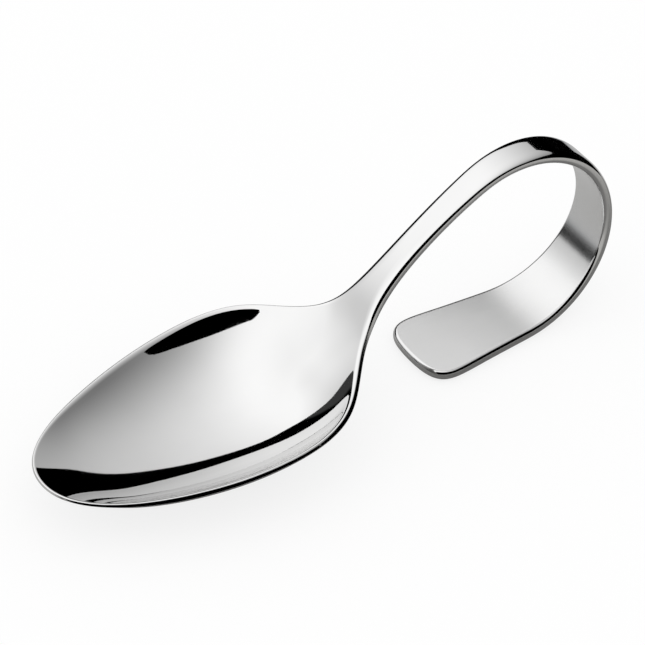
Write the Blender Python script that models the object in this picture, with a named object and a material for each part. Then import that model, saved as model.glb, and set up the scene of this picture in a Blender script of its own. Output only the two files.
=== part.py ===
"""Amuse-bouche spoon: one stamped, pressed and bent piece of stainless steel sheet.

The spoon is worked out the way it is made. A flat blank has an outline, its wide end is
pressed into the bowl, and its length is bent into rim, neck, shank, finger loop and foot.
A place on the blank is given by its length from the tip and its distance from the middle.
Bends are measured on the bend line, which is the line of the rim's upper edge.
Lengths are in metres, angles in radians, +Z is up and the bowl points to -X.
"""

import math

import bmesh
import bpy
import numpy as np

MM = 0.001

# Bowl
BOWL_LENGTH = 56.5 * MM                # along the rim, from the tip to the neck bend
BOWL_WIDTH = 41.1 * MM                 # across the upper edges of the rim
BOWL_DEPTH = 9.1 * MM                  # from the rim line to the deepest place inside
BOWL_FULLNESS = 0.29                   # 0 is a parabola across, more is flatter with steeper walls
TIP_EASE = 14.0 * MM                   # length over which that fullness sets in behind the tip
NECK_EASE = 9.5 * MM                   # length over which it fades again at the neck bend
RIM_RADIUS = 350.0 * MM                # upward sweep of the rim, seen from the side
RIM_GAUGE = 1.2 * MM                   # thickness at the rim, which is ground thinner
RIM_EDGE_REACH = 0.75 * MM             # rounding of the rim's upper edge, measured inward
RIM_EDGE_DEPTH = 0.4 * MM              # rounding of the rim's upper edge, measured down
RIM_LOWER_EDGE = 0.12 * MM             # radius of the rim's lower edge
TIP_THINNING = 0.5                     # share by which rim and rounding are smaller at the tip
TIP_RUN = 22.0 * MM                    # length over which the rim reaches its full size

# Handle
SHEET_GAUGE = 2.2 * MM                 # thickness of the sheet that the blank is cut from
HANDLE_RISE = 0.35 * MM                # height of the handle's outer face over the bend line
OUTER_EDGE_REACH = 2.0 * MM            # roll-off of the outer face, measured inward
OUTER_EDGE_DEPTH = 0.8 * MM            # roll-off of the outer face, measured down
INNER_EDGE_REACH = 0.75 * MM           # rounding of the inner face, measured inward
INNER_EDGE_DEPTH = 1.0 * MM            # rounding of the inner face, measured down
NECK_WIDTH = 5.4 * MM                  # narrowest place of the handle
NECK_RADIUS = 17.5 * MM
NECK_ANGLE = math.radians(36.3)        # how far the neck bends the handle up
SHANK_RADIUS = 101.0 * MM              # slow bend between the neck and the loop
LOOP_RADIUS = 19.8 * MM                # finger loop, to the bend line
FOOT_LENGTH = 22.7 * MM                # flat end that rests on the table
FOOT_WIDTH = 17.7 * MM
BEND_EASE = 8.0 * MM                   # length over which one bend runs into the next
GRIND_EASE = 14.0 * MM                 # length over which the ground rim runs out at the neck

# Mesh
TABLE_STEPS = 4000                     # samples along the strip for its bends
ROWS = 105                             # cross-sections from the tip to the foot's end
COLUMNS = 10                           # faces across the strip
EDGE_STEPS = 3                         # faces round each corner of an edge


def smooth_step(x):
    """Rise from 0 to 1 with no kink in slope or curvature at its ends."""
    x = np.clip(x, 0.0, 1.0)
    return x ** 3 * (10.0 - 15.0 * x + 6.0 * x ** 2)


def b_spline(control, count):
    """Points of a clamped cubic B-spline, evenly spaced in its parameter."""
    control = np.array(control)
    spans = len(control) - 3
    knots = np.concatenate((np.zeros(3), np.arange(spans + 1), np.full(3, spans)))
    u = np.linspace(0.0, spans, count)
    span = np.minimum(u.astype(int), spans - 1)
    point = [control[span + i] for i in range(4)]
    for level in range(1, 4):
        for i in range(3, level - 1, -1):
            low = knots[span + i]
            high = knots[span + i + 4 - level]
            share = ((u - low) / (high - low))[:, None]
            point[i] = (1.0 - share) * point[i - 1] + share * point[i]
    return point[3]


def integral(values, step):
    """Running trapezoid sum that starts at zero."""
    return np.concatenate(([0.0], np.cumsum((values[1:] + values[:-1]) / 2.0) * step))


def neck_end():
    """Length from the tip to the end of the neck bend."""
    return BOWL_LENGTH + NECK_RADIUS * NECK_ANGLE


def along_neck(length, before, after):
    """A value that changes where the ground rim of the bowl runs out at the neck."""
    return before + (after - before) * smooth_step((length - neck_end()) / GRIND_EASE + 0.5)


def rim_size(length):
    """Size of the rim as a share of its full size, which it lacks near the tip."""
    return 1.0 - TIP_THINNING * (1.0 - smooth_step(length / TIP_RUN))


def bowl_depth(length):
    """Depth of the bowl below its rim, along the middle of the blank."""
    shape = b_spline((
        (0.0, 0.0),
        (0.12 * BOWL_LENGTH, 0.297),
        (0.32 * BOWL_LENGTH, 0.66),
        (0.56 * BOWL_LENGTH, 0.932),
        (0.78 * BOWL_LENGTH, 0.986),
        (0.95 * BOWL_LENGTH, 0.5),
        (1.08 * BOWL_LENGTH, 0.04),
        (1.22 * BOWL_LENGTH, 0.0),
        (1.40 * BOWL_LENGTH, 0.0),
    ), TABLE_STEPS)
    depth = BOWL_DEPTH * shape[:, 1] / shape[:, 1].max()
    return np.interp(length, shape[:, 0], depth)


def blank_outline(strip_length, count):
    """One side of the flat blank: length from the tip and half width."""
    handle = strip_length - BOWL_LENGTH
    bowl = BOWL_WIDTH / 2.0
    neck = NECK_WIDTH / 2.0
    foot = FOOT_WIDTH / 2.0
    flare = foot - neck
    return b_spline((
        (0.0, 0.0),
        (0.0, 0.418 * bowl),
        (0.324 * BOWL_LENGTH, 0.868 * bowl),
        (0.691 * BOWL_LENGTH, 1.042 * bowl),
        (0.943 * BOWL_LENGTH, 0.947 * bowl),
        (BOWL_LENGTH + 0.042 * handle, 2.28 * neck),
        (BOWL_LENGTH + 0.115 * handle, 1.145 * neck),
        (BOWL_LENGTH + 0.231 * handle, neck),
        (BOWL_LENGTH + 0.436 * handle, neck + 0.13 * flare),
        (BOWL_LENGTH + 0.699 * handle, neck + 0.5 * flare),
        (BOWL_LENGTH + 0.951 * handle, 0.965 * foot),
        (strip_length, 1.125 * foot),
        (strip_length, 0.0),
    ), count)


class BentStrip:
    """The blank after bending and pressing, as tables over its length."""

    def __init__(self, shank_length):
        loop_start = neck_end() + shank_length
        rise = BOWL_LENGTH / RIM_RADIUS + NECK_ANGLE - shank_length / SHANK_RADIUS
        loop_end = loop_start + LOOP_RADIUS * (math.pi + rise)
        self.total = loop_end + FOOT_LENGTH
        self.length = np.linspace(0.0, self.total, TABLE_STEPS)
        step = self.length[1]
        bends = (
            (BOWL_LENGTH, 1.0 / RIM_RADIUS, 1.0 / NECK_RADIUS),
            (neck_end(), 1.0 / NECK_RADIUS, -1.0 / SHANK_RADIUS),
            (loop_start, -1.0 / SHANK_RADIUS, -1.0 / LOOP_RADIUS),
            (loop_end, -1.0 / LOOP_RADIUS, 0.0),
        )
        self.curvature = np.full(TABLE_STEPS, 1.0 / RIM_RADIUS)
        for place, before, after in bends:
            eased = smooth_step((self.length - place) / BEND_EASE + 0.5)
            self.curvature += (after - before) * eased
        self.heading = integral(self.curvature, step)
        self.x = integral(np.cos(self.heading), step)
        self.z = integral(np.sin(self.heading), step)
        self.press_bowl(step)

    def press_bowl(self, step):
        """Depth along the middle, and how it falls off across with the 2nd and 4th power."""
        outline = blank_outline(self.total, TABLE_STEPS)
        square = np.interp(self.length, outline[:, 0], outline[:, 1]) ** 2
        square[0] = square[1]
        square[-1] = square[-2]
        full = BOWL_FULLNESS * smooth_step(self.length / TIP_EASE)
        full *= smooth_step((BOWL_LENGTH - self.length) / NECK_EASE + 0.5)
        self.depth = bowl_depth(self.length)
        self.fall = (1.0 - full) * self.depth / square
        self.fall[0] = self.fall[1]
        self.curl = full * self.depth / square ** 2
        self.depth_slope = np.gradient(self.depth, step)
        self.fall_slope = np.gradient(self.fall, step)
        self.curl_slope = np.gradient(self.curl, step)

    def at(self, table, length):
        return np.interp(length, self.length, table)

    def point(self, length, across, below):
        """World place of a spot on the blank, some way below its top face."""
        heading = self.at(self.heading, length)
        fall = self.at(self.fall, length)
        curl = self.at(self.curl, length)
        sag = self.at(self.depth, length) - fall * across ** 2 - curl * across ** 4
        along_slope = (self.at(self.depth_slope, length)
                       - self.at(self.fall_slope, length) * across ** 2
                       - self.at(self.curl_slope, length) * across ** 4)
        across_slope = -2.0 * fall * across - 4.0 * curl * across ** 3
        stretch = 1.0 + self.at(self.curvature, length) * sag
        normal = np.stack((along_slope, stretch * across_slope, stretch), -1)
        normal /= np.linalg.norm(normal, axis=-1, keepdims=True)
        forward = -below * normal[..., 0]
        side = across - below * normal[..., 1]
        up = -sag - below * normal[..., 2]
        x = self.at(self.x, length) + forward * np.cos(heading) - up * np.sin(heading)
        z = self.at(self.z, length) + forward * np.sin(heading) + up * np.cos(heading)
        return np.stack((x, side, z), -1)

    def foot_above_bowl(self):
        """Height of the foot's underside over the lowest place under the bowl."""
        bowl = self.length[self.length < BOWL_LENGTH]
        underside = self.point(bowl, 0.0 * bowl, SHEET_GAUGE)
        return self.z[-1] - HANDLE_RISE - underside[:, 2].min()


def level_strip():
    """The strip whose shank is just long enough to rest on both bowl and foot."""
    short = 0.0
    long = 8.0 * LOOP_RADIUS
    for _ in range(50):
        middle = (short + long) / 2.0
        if BentStrip(middle).foot_above_bowl() < 0.0:
            short = middle
        else:
            long = middle
    return BentStrip(long)


def edge_profile(length, gauge):
    """Rounded edge from the top face to the underside: inset and depth of its points."""
    rim = rim_size(length)
    outer_reach = along_neck(length, rim * RIM_EDGE_REACH, OUTER_EDGE_REACH)
    outer_depth = along_neck(length, rim * RIM_EDGE_DEPTH, OUTER_EDGE_DEPTH)
    inner_reach = along_neck(length, rim * RIM_LOWER_EDGE, INNER_EDGE_REACH)
    inner_depth = along_neck(length, rim * RIM_LOWER_EDGE, INNER_EDGE_DEPTH)
    turn = np.linspace(0.0, math.pi / 2.0, EDGE_STEPS + 1)
    inset = np.concatenate((outer_reach * (1.0 - np.sin(turn)), inner_reach * (1.0 - np.cos(turn))))
    depth = np.concatenate((
        outer_depth * (1.0 - np.cos(turn)), gauge - inner_depth * (1.0 - np.sin(turn))))
    return inset, depth


def cross_section(strip, length, half_width, inward):
    """Closed ring of points round the strip at one place of its outline."""
    gauge = along_neck(length, rim_size(length) * RIM_GAUGE, SHEET_GAUGE)
    rise = along_neck(length, 0.0, HANDLE_RISE)
    inset, below = edge_profile(length, gauge)
    edge_length = length + inset * inward[0]
    edge_across = half_width + inset * inward[1]
    share = np.linspace(-1.0, 1.0, COLUMNS + 1)[1:-1]
    top_length = np.full(COLUMNS - 1, edge_length[0])
    under_length = np.full(COLUMNS - 1, edge_length[-1])
    full = (1.0 - share ** 2) * smooth_step(under_length / TIP_EASE)
    underside = gauge + (SHEET_GAUGE - gauge) * full
    return strip.point(
        np.concatenate((top_length, edge_length, under_length, edge_length[::-1])),
        np.concatenate((
            share * edge_across[0], edge_across, share[::-1] * edge_across[-1], -edge_across[::-1])),
        np.concatenate((0.0 * share, below, underside, below[::-1])) - rise,
    )


def spoon_rings():
    """Cross-sections from the tip to the end of the foot, set down on the table."""
    strip = level_strip()
    outline = blank_outline(strip.total, ROWS + 1)
    tangent = np.gradient(outline, axis=0)
    tangent[0] = (0.0, 1.0)
    tangent[-1] = (0.0, -1.0)
    tangent /= np.linalg.norm(tangent, axis=1, keepdims=True)
    inward = np.stack((tangent[:, 1], -tangent[:, 0]), -1)
    rings = np.array([
        cross_section(strip, length, half_width, normal)
        for (length, half_width), normal in zip(outline, inward)
    ])
    rings[..., 0] -= (rings[..., 0].min() + rings[..., 0].max()) / 2.0
    rings[..., 2] -= strip.z[-1] - HANDLE_RISE
    return rings


def steel_material():
    material = bpy.data.materials.new("stainless_steel")
    material.use_nodes = True
    shader = material.node_tree.nodes["Principled BSDF"]
    shader.inputs["Base Color"].default_value = (0.78, 0.78, 0.77, 1.0)
    shader.inputs["Metallic"].default_value = 1.0
    shader.inputs["Roughness"].default_value = 0.08
    return material


def build_spoon():
    """Skin the cross-sections into one closed solid."""
    mesh = bmesh.new()
    rings = [[mesh.verts.new(point) for point in ring] for ring in spoon_rings()]
    for ring, following in zip(rings, rings[1:]):
        for i in range(len(ring)):
            mesh.faces.new((ring[i - 1], ring[i], following[i], following[i - 1]))
    bmesh.ops.remove_doubles(mesh, verts=mesh.verts, dist=0.001 * MM)
    bmesh.ops.recalc_face_normals(mesh, faces=mesh.faces)
    for face in mesh.faces:
        face.smooth = True
    data = bpy.data.meshes.new("spoon")
    mesh.to_mesh(data)
    mesh.free()
    data.materials.append(steel_material())
    spoon = bpy.data.objects.new("spoon", data)
    bpy.context.scene.collection.objects.link(spoon)


for item in list(bpy.data.objects):
    bpy.data.objects.remove(item)
build_spoon()
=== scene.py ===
"""Looks of the amuse-bouche spoon: a fine mesh of the CAD shape, its steel, and the studio.

The spoon's form follows the same blank, press and bends as its solid, with many more faces,
because a mirror shows every facet. Lengths are in metres, angles in radians.
"""

import math

import bmesh
import bpy
import numpy as np
from mathutils import Matrix


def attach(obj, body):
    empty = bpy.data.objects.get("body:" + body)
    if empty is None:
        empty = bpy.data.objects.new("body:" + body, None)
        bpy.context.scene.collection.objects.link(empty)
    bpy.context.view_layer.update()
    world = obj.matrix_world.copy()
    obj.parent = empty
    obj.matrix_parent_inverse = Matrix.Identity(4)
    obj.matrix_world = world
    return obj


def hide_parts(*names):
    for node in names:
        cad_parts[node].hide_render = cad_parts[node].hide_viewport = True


MM = 0.001

# Bowl
BOWL_LENGTH = 56.5 * MM
BOWL_WIDTH = 41.1 * MM
BOWL_DEPTH = 9.1 * MM
BOWL_FULLNESS = 0.29
TIP_EASE = 14.0 * MM
NECK_EASE = 9.5 * MM
RIM_RADIUS = 350.0 * MM
RIM_GAUGE = 1.2 * MM
RIM_EDGE_REACH = 0.75 * MM
RIM_EDGE_DEPTH = 0.4 * MM
RIM_LOWER_EDGE = 0.12 * MM
TIP_THINNING = 0.5
TIP_RUN = 22.0 * MM

# Handle
SHEET_GAUGE = 2.2 * MM
HANDLE_RISE = 0.35 * MM
OUTER_EDGE_REACH = 2.0 * MM
OUTER_EDGE_DEPTH = 0.8 * MM
INNER_EDGE_REACH = 0.75 * MM
INNER_EDGE_DEPTH = 1.0 * MM
NECK_WIDTH = 5.4 * MM
NECK_RADIUS = 17.5 * MM
NECK_ANGLE = math.radians(36.3)
SHANK_RADIUS = 101.0 * MM
LOOP_RADIUS = 19.8 * MM
FOOT_LENGTH = 22.7 * MM
FOOT_WIDTH = 17.7 * MM
BEND_EASE = 8.0 * MM
GRIND_EASE = 14.0 * MM

# Fine mesh
TABLE_STEPS = 4000                     # samples along the strip for its bends
ROWS = 480                             # cross-sections from the tip to the foot's end
COLUMNS = 64                           # faces across the strip
EDGE_STEPS = 12                        # faces round each corner of an edge
SIDE_STEPS = 3                         # faces across the flat of an edge
LONGEST_SHANK = 8.0 * LOOP_RADIUS      # upper end of the search for the shank's length
HALVINGS = 50                          # steps of that search
MERGE_DISTANCE = 0.0005 * MM           # points nearer than this become one
MIRROR, SATIN, SIDE = range(3)         # numbers of the finishes

# Steel; sizes of a grain are along, across and below the blank
STEEL_TONE = (0.80, 0.799, 0.797)
TONE_DRIFT = 0.98                      # darkest tone as a share of the lightest
TONE_GRAIN = (9.0 * MM, 7.0 * MM, 7.0 * MM)
TONE_FROM = 0.3                        # levels of that grain between which the tone drifts
TONE_TO = 0.7
HAZE_GRAIN = (6.0 * MM, 5.0 * MM, 5.0 * MM)
HAZE_DETAIL = 3.0
GRAIN_DETAIL = 2.0
MOTTLE_FROM = 0.6                      # haze and lines together, where roughness is least
MOTTLE_TO = 1.4                        # and where it is most
BOWL_ROUGHNESS = 0.03
LOOP_ROUGHNESS = 0.06
MIRROR_SPREAD = 0.012                  # how far roughness strays to either side
MIRROR_LINES = (25.0 * MM, 0.12 * MM, 0.12 * MM)
MIRROR_LINE_DEPTH = 0.0004 * MM
SATIN_ROUGHNESS = 0.18
SATIN_SPREAD = 0.015
SATIN_LINES = (6.0 * MM, 0.30 * MM, 0.30 * MM)
SATIN_LINE_DEPTH = 0.0010 * MM
BACK_LINE_DEPTH = 0.0002 * MM          # under the bowl
HEEL_ROUGHNESS = 0.257                 # where the loop runs into the foot
HEEL_REACH = 18.0 * MM
EDGE_ROUGHNESS = 0.24
EDGE_SPREAD = 0.02
EDGE_LINES = (3.0 * MM, 3.0 * MM, 0.08 * MM)
EDGE_LINE_DEPTH = 0.0008 * MM

# Light tent; azimuths count from +X towards +Y
STUDIO_RADIUS = 3.0
TENT_COLUMNS = 97
TENT_ROWS = 33
TENT_LEVEL = 1.17
TENT_AZIMUTH = math.radians(145.0)     # middle of the lit side
TENT_ELEVATION = math.radians(30.0)
TENT_PEAK = 1.005
TENT_FALL = 0.66
TENT_RING = 0.33                       # angle of the brightest ring, as a share of a right angle
DISPLAY_POWER = 2.2                    # turns a level as it is seen into light
LOW_DIM = 0.36                         # share of light that the foot of the tent lacks
LOW_DIM_AZIMUTH = math.radians(112.0)
LOW_DIM_TOP = math.radians(29.5)       # height of the dim part at that azimuth
LOW_DIM_CLIMB = 0.5                    # how fast that height grows with azimuth
LOW_DIM_MOST = math.radians(36.0)
LOW_DIM_EASE = math.radians(18.0)      # height over which the dim part sets in
LOW_DIM_TO = math.radians(215.0)
LOW_DIM_FADE = math.radians(18.0)

# Dark flags just inside the tent
FLAG_RADIUS = 0.97 * STUDIO_RADIUS
FLAG_COLUMNS = 193
FLAG_ROWS = 25
FRONT_AZIMUTH = math.radians(-115.0)   # where the front flag is highest
FRONT_SLOPE = 1.546                    # its height there over its distance
FRONT_SPREAD = 0.918                   # how fast it gets lower to the sides; a flat card has 1
FRONT_FROM = math.radians(-166.0)
FRONT_ROUND = math.radians(7.0)        # radius of its corner there
FRONT_TO = math.radians(-3.0)
SIDE_FROM = math.radians(-59.0)        # where it drops to its lower side
SIDE_EASE = math.radians(6.0)
SIDE_TOP = math.radians(36.5)
BAND_FROM = math.radians(100.0)
BAND_TO = math.radians(200.0)
BAND_HEIGHT = math.radians(10.5)

# Dark wall near the spoon; azimuths are seen from its own middle
WALL_X = -25.0 * MM
WALL_Y = 12.0 * MM
WALL_RADIUS = 160.0 * MM
WALL_LIFT = 6.0 * MM                   # gap below it
WALL_HEIGHT = 87.5 * MM
WALL_FROM = math.radians(-60.0)
WALL_TO = math.radians(107.5)
WALL_RISE = 40.0 * MM                  # how much higher its near end is
WALL_RISE_FROM = math.radians(15.0)
WALL_RISE_TO = math.radians(-25.0)
WALL_BUMP = 14.0 * MM
WALL_BUMP_AZIMUTH = math.radians(40.0)
WALL_BUMP_SPREAD = math.radians(8.0)
WALL_DROP_FROM = math.radians(80.5)    # its far end slopes down from here
WALL_DROP_TO = math.radians(128.5)
WALL_GREY = 0.044                      # light on that end
WALL_GREY_FROM = math.radians(93.5)
WALL_GREY_TO = math.radians(96.5)

# Floor, and the table that only the steel sees
FLOOR_TONE = (0.98, 0.98, 0.98)
FLOOR_ROUGHNESS = 0.9
SHADOW_SHARE = 0.2
FAR_FLOOR_Y = 84.0 * MM                # the table is dark beyond this line
FAR_FLOOR_FROM = math.radians(1.0)
FAR_FLOOR_TO = math.radians(100.0)
FAR_FLOOR_COLUMNS = 65
CARD_HEIGHT = 0.02 * MM                # of the table over the floor
CARD_TONES_AND_SHADOW = (
    (-50.0 * MM, (0.50, 0.495, 0.48)),
    (-30.0 * MM, (0.205, 0.203, 0.198)),
    (-10.0 * MM, (0.20, 0.198, 0.193)),
    (16.0 * MM, (0.52, 0.517, 0.51)),
    (45.0 * MM, (0.52, 0.52, 0.52)),
    (63.0 * MM, (0.42, 0.425, 0.43)),
    (80.0 * MM, (0.30, 0.305, 0.31)),
    (130.0 * MM, (0.10, 0.10, 0.10)),
)                                      # tones of the table by Y; darkest from -30 to -10 mm as a painted shadow of the spoon on its near side, and darker towards the far end

# Camera
CAMERA_AZIMUTH = math.radians(-32.813)
CAMERA_ELEVATION = math.radians(40.917)
CAMERA_DISTANCE = 600.0 * MM
CAMERA_RIGHT = -1.2544 * MM            # how far it is shifted sideways
CAMERA_UP = 13.6489 * MM
SENSOR = 36.0                          # in millimetres, as Blender takes it
PHOTO_PIXELS = 645.0
PIXELS_PER_MM = 5.4079                 # scale of the photo at the camera's distance
GLOSSY_BOUNCES = 12                    # fewer leave a black line where the bowl mirrors itself


def smooth_step(x):
    """Rise from 0 to 1 with no kink in slope or curvature at its ends."""
    x = np.clip(x, 0.0, 1.0)
    return x ** 3 * (10.0 - 15.0 * x + 6.0 * x ** 2)


def b_spline(control, count):
    """Points of a clamped cubic B-spline, evenly spaced in its parameter."""
    control = np.array(control)
    spans = len(control) - 3
    knots = np.concatenate((np.zeros(3), np.arange(spans + 1), np.full(3, spans)))
    u = np.linspace(0.0, spans, count)
    span = np.minimum(u.astype(int), spans - 1)
    point = [control[span + i] for i in range(4)]
    for level in range(1, 4):
        for i in range(3, level - 1, -1):
            low = knots[span + i]
            high = knots[span + i + 4 - level]
            share = ((u - low) / (high - low))[:, None]
            point[i] = (1.0 - share) * point[i - 1] + share * point[i]
    return point[3]


def integral(values, step):
    """Running trapezoid sum that starts at zero."""
    return np.concatenate(([0.0], np.cumsum((values[1:] + values[:-1]) / 2.0) * step))


def neck_end():
    """Length from the tip to the end of the neck bend."""
    return BOWL_LENGTH + NECK_RADIUS * NECK_ANGLE


def along_neck(length, before, after):
    """A value that changes where the ground rim of the bowl runs out at the neck."""
    return before + (after - before) * smooth_step((length - neck_end()) / GRIND_EASE + 0.5)


def bowl_depth(length):
    """Depth of the bowl below its rim, along the middle of the blank."""
    shape = b_spline((
        (0.0, 0.0),
        (0.12 * BOWL_LENGTH, 0.297),
        (0.32 * BOWL_LENGTH, 0.66),
        (0.56 * BOWL_LENGTH, 0.932),
        (0.78 * BOWL_LENGTH, 0.986),
        (0.95 * BOWL_LENGTH, 0.5),
        (1.08 * BOWL_LENGTH, 0.04),
        (1.22 * BOWL_LENGTH, 0.0),
        (1.40 * BOWL_LENGTH, 0.0),
    ), TABLE_STEPS)
    depth = BOWL_DEPTH * shape[:, 1] / shape[:, 1].max()
    return np.interp(length, shape[:, 0], depth)


def blank_outline(strip_length, count):
    """One side of the flat blank: length from the tip and half width."""
    handle = strip_length - BOWL_LENGTH
    bowl = BOWL_WIDTH / 2.0
    neck = NECK_WIDTH / 2.0
    foot = FOOT_WIDTH / 2.0
    flare = foot - neck
    return b_spline((
        (0.0, 0.0),
        (0.0, 0.418 * bowl),
        (0.324 * BOWL_LENGTH, 0.868 * bowl),
        (0.691 * BOWL_LENGTH, 1.042 * bowl),
        (0.943 * BOWL_LENGTH, 0.947 * bowl),
        (BOWL_LENGTH + 0.042 * handle, 2.28 * neck),
        (BOWL_LENGTH + 0.115 * handle, 1.145 * neck),
        (BOWL_LENGTH + 0.231 * handle, neck),
        (BOWL_LENGTH + 0.436 * handle, neck + 0.13 * flare),
        (BOWL_LENGTH + 0.699 * handle, neck + 0.5 * flare),
        (BOWL_LENGTH + 0.951 * handle, 0.965 * foot),
        (strip_length, 1.125 * foot),
        (strip_length, 0.0),
    ), count)


class BentStrip:
    """The blank after bending and pressing, as tables over its length."""

    def __init__(self, shank_length):
        loop_start = neck_end() + shank_length
        rise = BOWL_LENGTH / RIM_RADIUS + NECK_ANGLE - shank_length / SHANK_RADIUS
        loop_end = loop_start + LOOP_RADIUS * (math.pi + rise)
        self.total = loop_end + FOOT_LENGTH
        self.length = np.linspace(0.0, self.total, TABLE_STEPS)
        step = self.length[1]
        bends = (
            (BOWL_LENGTH, 1.0 / RIM_RADIUS, 1.0 / NECK_RADIUS),
            (neck_end(), 1.0 / NECK_RADIUS, -1.0 / SHANK_RADIUS),
            (loop_start, -1.0 / SHANK_RADIUS, -1.0 / LOOP_RADIUS),
            (loop_end, -1.0 / LOOP_RADIUS, 0.0),
        )
        self.curvature = np.full(TABLE_STEPS, 1.0 / RIM_RADIUS)
        for place, before, after in bends:
            eased = smooth_step((self.length - place) / BEND_EASE + 0.5)
            self.curvature += (after - before) * eased
        self.loop_start = loop_start
        self.loop_end = loop_end
        self.heading = integral(self.curvature, step)
        self.x = integral(np.cos(self.heading), step)
        self.z = integral(np.sin(self.heading), step)
        self.press_bowl(step)

    def press_bowl(self, step):
        """Depth along the middle, and how it falls off across with the 2nd and 4th power."""
        outline = blank_outline(self.total, TABLE_STEPS)
        square = np.interp(self.length, outline[:, 0], outline[:, 1]) ** 2
        square[0] = square[1]
        square[-1] = square[-2]
        full = BOWL_FULLNESS * smooth_step(self.length / TIP_EASE)
        full *= smooth_step((BOWL_LENGTH - self.length) / NECK_EASE + 0.5)
        self.depth = bowl_depth(self.length)
        self.fall = (1.0 - full) * self.depth / square
        self.fall[0] = self.fall[1]
        self.curl = full * self.depth / square ** 2
        self.depth_slope = np.gradient(self.depth, step)
        self.fall_slope = np.gradient(self.fall, step)
        self.curl_slope = np.gradient(self.curl, step)

    def at(self, table, length):
        return np.interp(length, self.length, table)

    def point(self, length, across, below):
        """World place of a spot on the blank, some way below its top face."""
        heading = self.at(self.heading, length)
        fall = self.at(self.fall, length)
        curl = self.at(self.curl, length)
        sag = self.at(self.depth, length) - fall * across ** 2 - curl * across ** 4
        along_slope = (self.at(self.depth_slope, length)
                       - self.at(self.fall_slope, length) * across ** 2
                       - self.at(self.curl_slope, length) * across ** 4)
        across_slope = -2.0 * fall * across - 4.0 * curl * across ** 3
        stretch = 1.0 + self.at(self.curvature, length) * sag
        normal = np.stack((along_slope, stretch * across_slope, stretch), -1)
        normal /= np.linalg.norm(normal, axis=-1, keepdims=True)
        forward = -below * normal[..., 0]
        side = across - below * normal[..., 1]
        up = -sag - below * normal[..., 2]
        x = self.at(self.x, length) + forward * np.cos(heading) - up * np.sin(heading)
        z = self.at(self.z, length) + forward * np.sin(heading) + up * np.cos(heading)
        return np.stack((x, side, z), -1)

    def foot_above_bowl(self):
        """Height of the foot's underside over the lowest place under the bowl."""
        bowl = self.length[self.length < BOWL_LENGTH]
        underside = self.point(bowl, 0.0 * bowl, SHEET_GAUGE)
        return self.z[-1] - HANDLE_RISE - underside[:, 2].min()


def level_strip():
    """The strip whose shank is just long enough to rest on both bowl and foot."""
    short = 0.0
    long = LONGEST_SHANK
    for _ in range(HALVINGS):
        middle = (short + long) / 2.0
        if BentStrip(middle).foot_above_bowl() < 0.0:
            short = middle
        else:
            long = middle
    return BentStrip(long)


def edge_profile(outer_reach, outer_depth, inner_reach, inner_depth, gauge):
    """Edge from the top face to the underside: inset and depth of its points."""
    turn = np.linspace(0.0, math.pi / 2.0, EDGE_STEPS + 1)
    side = np.linspace(0.0, 1.0, SIDE_STEPS + 1)[1:-1]
    side_depth = outer_depth + (gauge - outer_depth - inner_depth) * side
    inset = np.concatenate((
        outer_reach * (1.0 - np.sin(turn)), 0.0 * side_depth, inner_reach * (1.0 - np.cos(turn))), axis=1)
    depth = np.concatenate((
        outer_depth * (1.0 - np.cos(turn)), side_depth, gauge - inner_depth * (1.0 - np.sin(turn))), axis=1)
    return inset, depth


def spoon_rings(strip):
    """Cross-sections from tip to foot as points, with each point's place on the blank."""
    outline = blank_outline(strip.total, ROWS + 1)
    tangent = np.gradient(outline, axis=0)
    tangent[0] = (0.0, 1.0)
    tangent[-1] = (0.0, -1.0)
    tangent /= np.linalg.norm(tangent, axis=1, keepdims=True)
    inward = np.stack((tangent[:, 1], -tangent[:, 0]), -1)
    length = outline[:, :1]
    rim = 1.0 - TIP_THINNING * (1.0 - smooth_step(length / TIP_RUN))
    gauge = along_neck(length, rim * RIM_GAUGE, SHEET_GAUGE)
    rise = along_neck(length, 0.0, HANDLE_RISE)
    inset, edge_below = edge_profile(
        along_neck(length, rim * RIM_EDGE_REACH, OUTER_EDGE_REACH),
        along_neck(length, rim * RIM_EDGE_DEPTH, OUTER_EDGE_DEPTH),
        along_neck(length, rim * RIM_LOWER_EDGE, INNER_EDGE_REACH),
        along_neck(length, rim * RIM_LOWER_EDGE, INNER_EDGE_DEPTH),
        gauge,
    )
    edge_length = outline[:, :1] + inset * inward[:, :1]
    edge_across = outline[:, 1:] + inset * inward[:, 1:]
    share = np.linspace(-1.0, 1.0, COLUMNS + 1)[1:-1]
    top_across = share * edge_across[:, :1]
    top_length = np.repeat(edge_length[:, :1], COLUMNS - 1, axis=1)
    under_across = share[::-1] * edge_across[:, -1:]
    under_length = np.repeat(edge_length[:, -1:], COLUMNS - 1, axis=1)
    full = (1.0 - share ** 2) * smooth_step(under_length / TIP_EASE)
    under = gauge + (SHEET_GAUGE - gauge) * full
    length = np.concatenate(
        (top_length, edge_length, under_length, edge_length[:, ::-1]), axis=1)
    across = np.concatenate(
        (top_across, edge_across, under_across, -edge_across[:, ::-1]), axis=1)
    below = np.concatenate((0.0 * under, edge_below, under, edge_below[:, ::-1]), axis=1)
    rings = strip.point(length, across, below - rise)
    rings[..., 0] -= (rings[..., 0].min() + rings[..., 0].max()) / 2.0
    rings[..., 2] -= strip.z[-1] - HANDLE_RISE
    return rings, length, across, below


def face_finishes():
    """Number of the finish of each face round a cross-section."""
    edge = [MIRROR] * EDGE_STEPS + [SIDE] * SIDE_STEPS + [MIRROR] * EDGE_STEPS
    top = [MIRROR] * COLUMNS
    under = [SATIN] * COLUMNS
    return top[1:] + edge + under + edge + top[:1]


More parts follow.
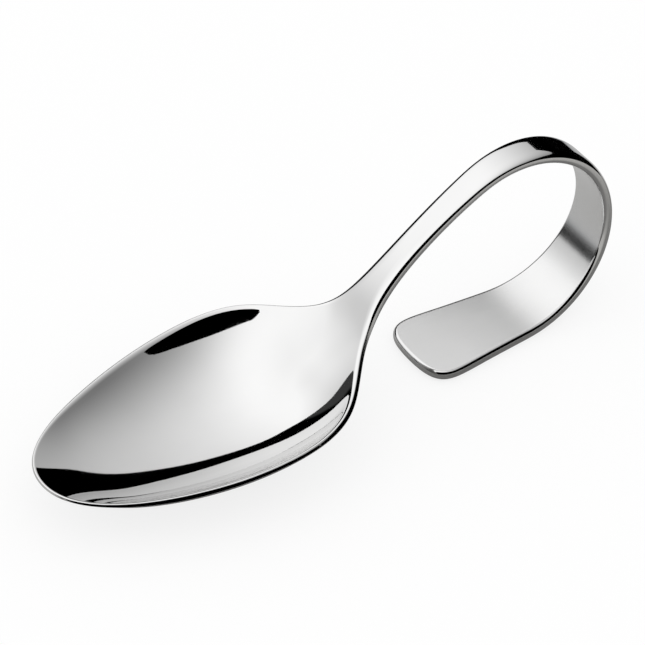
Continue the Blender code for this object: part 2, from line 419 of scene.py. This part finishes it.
def build_spoon():
    strip = level_strip()
    rings, length, across, below = spoon_rings(strip)
    rows, ring = rings.shape[:2]
    index = np.arange(rows * ring).reshape(rows, ring)
    following = np.roll(index, -1, axis=1)
    faces = np.stack((
        index[:-1], following[:-1], following[1:], index[1:]), -1).reshape(-1, 4)
    data = bpy.data.meshes.new("polished_spoon")
    data.from_pydata(rings.reshape(-1, 3).tolist(), [], faces.tolist())
    for name, values in (("along", length), ("across", across), ("below", below)):
        layer = data.attributes.new(name, "FLOAT", "POINT")
        layer.data.foreach_set("value", values.astype(np.float32).ravel())
    numbers = np.tile(np.array(face_finishes(), dtype=np.int32), rows - 1)
    data.polygons.foreach_set("material_index", numbers)
    data.polygons.foreach_set("use_smooth", np.ones(len(faces), dtype=bool))
    for material in (mirror_steel(strip), satin_steel(strip), side_steel()):
        data.materials.append(material)
    mesh = bmesh.new()
    mesh.from_mesh(data)
    bmesh.ops.remove_doubles(mesh, verts=mesh.verts, dist=MERGE_DISTANCE)
    bmesh.ops.recalc_face_normals(mesh, faces=mesh.faces)
    mesh.to_mesh(data)
    mesh.free()
    spoon = bpy.data.objects.new("polished_spoon", data)
    bpy.context.scene.collection.objects.link(spoon)
    return spoon


def add_node(tree, kind, inputs=None, **settings):
    """Add a node; each input is a constant or another node's output."""
    node = tree.nodes.new(kind)
    for name, value in settings.items():
        setattr(node, name, value)
    for name, value in (inputs or {}).items():
        if isinstance(value, bpy.types.NodeSocket):
            tree.links.new(value, node.inputs[name])
        else:
            node.inputs[name].default_value = value
    return node


def place_on_blank(tree, name):
    return add_node(tree, "ShaderNodeAttribute", attribute_name=name).outputs["Fac"]


def grain(tree, sizes, detail):
    """Noise on the flat blank whose features have these sizes, from 0 to 1."""
    place = add_node(tree, "ShaderNodeCombineXYZ", {
        "X": place_on_blank(tree, "along"),
        "Y": place_on_blank(tree, "across"),
        "Z": place_on_blank(tree, "below"),
    })
    scaled = add_node(tree, "ShaderNodeVectorMath", {
        0: place.outputs[0],
        1: [1.0 / size for size in sizes],
    }, operation="MULTIPLY")
    noise = add_node(tree, "ShaderNodeTexNoise", {
        "Vector": scaled.outputs[0], "Scale": 1.0, "Detail": detail})
    return noise.outputs["Fac"]


def math_node(tree, operation, first, second):
    return add_node(tree, "ShaderNodeMath", {0: first, 1: second}, operation=operation).outputs[0]


def ranged(tree, value, low, high, at_low, at_high):
    """A value that runs smoothly from one level to another between two places."""
    return add_node(tree, "ShaderNodeMapRange", {
        "Value": value, "From Min": low, "From Max": high, "To Min": at_low, "To Max": at_high,
    }, interpolation_type="SMOOTHSTEP").outputs["Result"]


def steel(name):
    """Bare steel whose tone drifts a little from place to place."""
    material = bpy.data.materials.new(name)
    material.use_nodes = True
    tree = material.node_tree
    shader = tree.nodes["Principled BSDF"]
    shader.inputs["Metallic"].default_value = 1.0
    ramp = add_node(tree, "ShaderNodeValToRGB", {"Fac": grain(tree, TONE_GRAIN, GRAIN_DETAIL)})
    ramp.color_ramp.elements[0].position = TONE_FROM
    ramp.color_ramp.elements[0].color = [TONE_DRIFT * tone for tone in STEEL_TONE] + [1.0]
    ramp.color_ramp.elements[1].position = TONE_TO
    ramp.color_ramp.elements[1].color = [*STEEL_TONE, 1.0]
    tree.links.new(ramp.outputs["Color"], shader.inputs["Base Color"])
    return material, tree, shader


def finish_steel(tree, shader, roughness, spread, line_sizes, line_depth):
    """Add the lines that a finish leaves: they catch light unevenly and stand in relief."""
    lines = grain(tree, line_sizes, GRAIN_DETAIL)
    haze = grain(tree, HAZE_GRAIN, HAZE_DETAIL)
    mottle = math_node(tree, "ADD", haze, lines)
    uneven = ranged(tree, mottle, MOTTLE_FROM, MOTTLE_TO, -spread, spread)
    tree.links.new(math_node(tree, "ADD", roughness, uneven), shader.inputs["Roughness"])
    bump = add_node(tree, "ShaderNodeBump", {
        "Strength": 1.0, "Distance": line_depth, "Height": lines})
    tree.links.new(bump.outputs["Normal"], shader.inputs["Normal"])


def mirror_steel(strip):
    """Bright in the bowl, and a little duller on the loop."""
    material, tree, shader = steel("steel_mirror")
    roughness = ranged(
        tree, place_on_blank(tree, "along"), BOWL_LENGTH, strip.loop_start + LOOP_RADIUS,
        BOWL_ROUGHNESS, LOOP_ROUGHNESS)
    finish_steel(tree, shader, roughness, MIRROR_SPREAD, MIRROR_LINES, MIRROR_LINE_DEPTH)
    return material


def satin_steel(strip):
    """Polished under the bowl, and satin from the shank on to the foot."""
    material, tree, shader = steel("steel_satin")
    along = place_on_blank(tree, "along")
    away = math_node(tree, "SUBTRACT", along, strip.loop_end)
    apart = math_node(tree, "ABSOLUTE", away, 0.0)
    satin = ranged(tree, apart, 0.0, HEEL_REACH, HEEL_ROUGHNESS, SATIN_ROUGHNESS)
    roughness = ranged(tree, along, BOWL_LENGTH, strip.loop_start, BOWL_ROUGHNESS, satin)
    line_depth = ranged(
        tree, along, BOWL_LENGTH, strip.loop_start, BACK_LINE_DEPTH, SATIN_LINE_DEPTH)
    finish_steel(tree, shader, roughness, SATIN_SPREAD, SATIN_LINES, line_depth)
    return material


def side_steel():
    """Polished round the bowl, and dull along the sides of the handle."""
    material, tree, shader = steel("steel_side")
    roughness = ranged(
        tree, place_on_blank(tree, "along"), BOWL_LENGTH, neck_end(),
        BOWL_ROUGHNESS, EDGE_ROUGHNESS)
    finish_steel(tree, shader, roughness, EDGE_SPREAD, EDGE_LINES, EDGE_LINE_DEPTH)
    return material


def glow_cloth():
    """Cloth of the studio, lit by the level stored at each of its points."""
    material = bpy.data.materials.new("studio_cloth")
    material.use_nodes = True
    tree = material.node_tree
    material.cycles.emission_sampling = "NONE"
    level = add_node(tree, "ShaderNodeAttribute", attribute_name="glow")
    shader = add_node(tree, "ShaderNodeEmission", {"Color": level.outputs["Color"]})
    tree.links.new(shader.outputs[0], tree.nodes["Material Output"].inputs["Surface"])
    return material


def add_stage(name, points, material):
    """A piece of the studio from a grid of points, or a flat one from a ring of them."""
    if points.ndim == 3:
        rows, columns = points.shape[:2]
        index = np.arange(rows * columns).reshape(rows, columns)
        faces = np.stack((
            index[:-1, :-1], index[:-1, 1:], index[1:, 1:], index[1:, :-1]), -1).reshape(-1, 4)
    else:
        faces = np.arange(len(points))[None]
    data = bpy.data.meshes.new(name)
    data.from_pydata(points.reshape(-1, 3).tolist(), [], faces.tolist())
    data.polygons.foreach_set("use_smooth", np.ones(len(faces), dtype=bool))
    data.materials.append(material)
    item = bpy.data.objects.new(name, data)
    bpy.context.scene.collection.objects.link(item)
    return item


def direction(azimuth, elevation):
    return np.stack((
        np.cos(azimuth) * np.cos(elevation),
        np.sin(azimuth) * np.cos(elevation),
        np.sin(elevation),
    ), -1)


def tent_glow(rays):
    """Light of the tent: brightest round its lit side, falling off away from it."""
    angle = np.arccos(np.clip(rays @ direction(TENT_AZIMUTH, TENT_ELEVATION), -1.0, 1.0))
    level = TENT_PEAK - TENT_FALL * (angle / (math.pi / 2.0) - TENT_RING) ** 2
    azimuth = np.arctan2(rays[..., 1], rays[..., 0]) % (2.0 * math.pi)
    elevation = np.arcsin(np.clip(rays[..., 2], -1.0, 1.0))
    top = np.minimum(LOW_DIM_TOP + LOW_DIM_CLIMB * (azimuth - LOW_DIM_AZIMUTH), LOW_DIM_MOST)
    low = np.clip((top - elevation) / LOW_DIM_EASE, 0.0, 1.0)
    low *= smooth_step((LOW_DIM_TO - azimuth) / LOW_DIM_FADE)
    return TENT_LEVEL * np.maximum(level, 0.0) ** DISPLAY_POWER * (1.0 - LOW_DIM * low)


def show_in_mirrors_only(item):
    item.visible_camera = False
    item.visible_diffuse = False
    item.visible_transmission = False
    item.visible_volume_scatter = False
    item.visible_shadow = False


def add_cloth(name, points, glow, cloth):
    """A piece of the studio that only the steel sees, with the light level of each point."""
    item = add_stage(name, points, cloth)
    show_in_mirrors_only(item)
    layer = item.data.attributes.new("glow", "FLOAT_COLOR", "POINT")
    colour = np.stack((glow, glow, glow, np.ones_like(glow)), -1)
    layer.data.foreach_set("color", colour.astype(np.float32).ravel())


def build_tent(cloth):
    azimuth, elevation = np.meshgrid(
        np.linspace(-math.pi, math.pi, TENT_COLUMNS),
        np.linspace(0.0, math.pi / 2.0, TENT_ROWS))
    rays = direction(azimuth, elevation)
    add_cloth("light_tent", STUDIO_RADIUS * rays, tent_glow(rays), cloth)


def build_flag(name, azimuth, top, cloth):
    """Black card that stands on the floor in front of the tent."""
    share = np.linspace(0.0, 1.0, FLAG_ROWS)[:, None]
    points = FLAG_RADIUS * direction(azimuth + 0.0 * share, top * share)
    add_cloth(name, points, np.zeros(points.shape[:-1]), cloth)


def build_front_flag(cloth):
    azimuth = np.linspace(FRONT_FROM, FRONT_TO, FLAG_COLUMNS)
    top = np.arctan(FRONT_SLOPE * np.cos(FRONT_SPREAD * (azimuth - FRONT_AZIMUTH)))
    top += (SIDE_TOP - top) * smooth_step((azimuth - SIDE_FROM) / SIDE_EASE)
    inside = np.minimum(azimuth - FRONT_FROM, FRONT_ROUND)
    top -= FRONT_ROUND - np.sqrt(inside * (2.0 * FRONT_ROUND - inside))
    build_flag("front_flag", azimuth, top, cloth)


def build_far_band(cloth):
    azimuth = np.linspace(BAND_FROM, BAND_TO, FLAG_COLUMNS)
    build_flag("far_band", azimuth, np.full_like(azimuth, BAND_HEIGHT), cloth)


def build_far_wall(cloth):
    """Round wall whose top edge rises, bulges and falls along its length."""
    share = np.linspace(0.0, 1.0, FLAG_ROWS)[:, None]
    azimuth = np.linspace(WALL_FROM, WALL_TO, FLAG_COLUMNS) + 0.0 * share
    rise = smooth_step((azimuth - WALL_RISE_FROM) / (WALL_RISE_TO - WALL_RISE_FROM))
    bump = np.exp(-((azimuth - WALL_BUMP_AZIMUTH) / WALL_BUMP_SPREAD) ** 2)
    drop = smooth_step((azimuth - WALL_DROP_FROM) / (WALL_DROP_TO - WALL_DROP_FROM))
    height = WALL_HEIGHT * (1.0 - drop) + WALL_RISE * rise + WALL_BUMP * bump
    points = np.stack((
        WALL_X + WALL_RADIUS * np.cos(azimuth),
        WALL_Y + WALL_RADIUS * np.sin(azimuth),
        WALL_LIFT + (height - WALL_LIFT) * share,
    ), -1)
    grey = smooth_step((azimuth - WALL_GREY_FROM) / (WALL_GREY_TO - WALL_GREY_FROM))
    add_cloth("far_wall", points, WALL_GREY * grey, cloth)


def build_far_floor(cloth):
    """Black sheet on the table beyond a straight line behind the spoon."""
    azimuth = np.linspace(FAR_FLOOR_FROM, FAR_FLOOR_TO, FAR_FLOOR_COLUMNS)
    reach = np.stack((FAR_FLOOR_Y / np.sin(azimuth), np.full_like(azimuth, FLAG_RADIUS)))
    points = np.stack((
        reach * np.cos(azimuth),
        reach * np.sin(azimuth),
        np.full_like(reach, 2.0 * CARD_HEIGHT),
    ), -1)
    add_cloth("far_floor", points, np.zeros_like(reach), cloth)


def matt_material(name):
    """Material with no gloss, its nodes and its shader."""
    material = bpy.data.materials.new(name)
    material.use_nodes = True
    shader = material.node_tree.nodes["Principled BSDF"]
    shader.inputs["Roughness"].default_value = FLOOR_ROUGHNESS
    shader.inputs["Specular IOR Level"].default_value = 0.0
    return material, material.node_tree, shader


def floor_ring():
    azimuth = np.linspace(0.0, 2.0 * math.pi, TENT_COLUMNS)[:-1]
    return STUDIO_RADIUS * direction(azimuth, 0.0 * azimuth)


def build_floor():
    """White floor that glows, with a share left to take the spoon's shadow."""
    white, tree, shader = matt_material("white_floor")
    shader.inputs["Base Color"].default_value = (*FLOOR_TONE, 1.0)
    glow = add_node(tree, "ShaderNodeEmission")
    mix = add_node(tree, "ShaderNodeMixShader", {
        0: SHADOW_SHARE, 1: glow.outputs[0], 2: shader.outputs[0]})
    tree.links.new(mix.outputs[0], tree.nodes["Material Output"].inputs["Surface"])
    add_stage("floor", floor_ring(), white)


def build_table_card():
    """Toned table that lies on the floor and that only the steel sees, with the spoon's shadow painted on
    its near side.
    """
    shadowed_table, tree, shader = matt_material("table_card")
    place = add_node(tree, "ShaderNodeTexCoord")
    parts = add_node(tree, "ShaderNodeSeparateXYZ", {0: place.outputs["Object"]})
    front = CARD_TONES_AND_SHADOW[0][0]
    depth = CARD_TONES_AND_SHADOW[-1][0] - front
    share = add_node(tree, "ShaderNodeMapRange", {
        "Value": parts.outputs["Y"], "From Min": front, "From Max": front + depth})
    ramp = add_node(tree, "ShaderNodeValToRGB", {"Fac": share.outputs["Result"]})
    stops = ramp.color_ramp.elements
    stops.remove(stops[1])
    # stops near the spoon's near side are a painted shadow
    for number, (y, tone) in enumerate(CARD_TONES_AND_SHADOW):
        stop = stops[0] if number == 0 else stops.new((y - front) / depth)
        stop.position = (y - front) / depth
        stop.color = (*tone, 1.0)
    tree.links.new(ramp.outputs["Color"], shader.inputs["Base Color"])
    ring = floor_ring() + np.array((0.0, 0.0, CARD_HEIGHT))
    show_in_mirrors_only(add_stage("table_card", ring, shadowed_table))


def set_world():
    world = bpy.data.worlds.new("studio")
    world.use_nodes = True
    background = world.node_tree.nodes["Background"]
    background.inputs["Color"].default_value = (1.0, 1.0, 1.0, 1.0)
    background.inputs["Strength"].default_value = 1.0
    bpy.context.scene.world = world


def set_camera():
    a = CAMERA_AZIMUTH
    e = CAMERA_ELEVATION
    right = np.array((math.cos(a), math.sin(a), 0.0))
    up = np.array((-math.sin(a) * math.sin(e), math.cos(a) * math.sin(e), math.cos(e)))
    back = np.array((math.sin(a) * math.cos(e), -math.cos(a) * math.cos(e), math.sin(e)))
    place = CAMERA_RIGHT * right + CAMERA_UP * up + CAMERA_DISTANCE * back
    data = bpy.data.cameras.new("camera")
    data.sensor_width = SENSOR
    data.lens = SENSOR * PIXELS_PER_MM * CAMERA_DISTANCE / MM / PHOTO_PIXELS
    camera = bpy.data.objects.new("camera", data)
    bpy.context.scene.collection.objects.link(camera)
    camera.matrix_world = Matrix((
        (right[0], up[0], back[0], place[0]),
        (right[1], up[1], back[1], place[1]),
        (right[2], up[2], back[2], place[2]),
        (0.0, 0.0, 0.0, 1.0),
    ))
    bpy.context.scene.camera = camera


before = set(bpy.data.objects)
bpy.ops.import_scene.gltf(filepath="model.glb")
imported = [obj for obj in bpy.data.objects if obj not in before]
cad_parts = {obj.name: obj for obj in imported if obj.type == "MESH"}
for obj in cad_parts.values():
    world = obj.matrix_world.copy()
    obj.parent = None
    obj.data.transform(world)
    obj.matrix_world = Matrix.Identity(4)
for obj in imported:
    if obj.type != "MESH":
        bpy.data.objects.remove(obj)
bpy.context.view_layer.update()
spoon = build_spoon()
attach(spoon, "root")
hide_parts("spoon")
cloth = glow_cloth()
build_tent(cloth)
build_front_flag(cloth)
build_far_band(cloth)
build_far_wall(cloth)
build_far_floor(cloth)
build_floor()
build_table_card()
set_world()
set_camera()
bpy.context.scene.view_settings.view_transform = "Standard"
bpy.context.scene.cycles.glossy_bounces = GLOSSY_BOUNCES
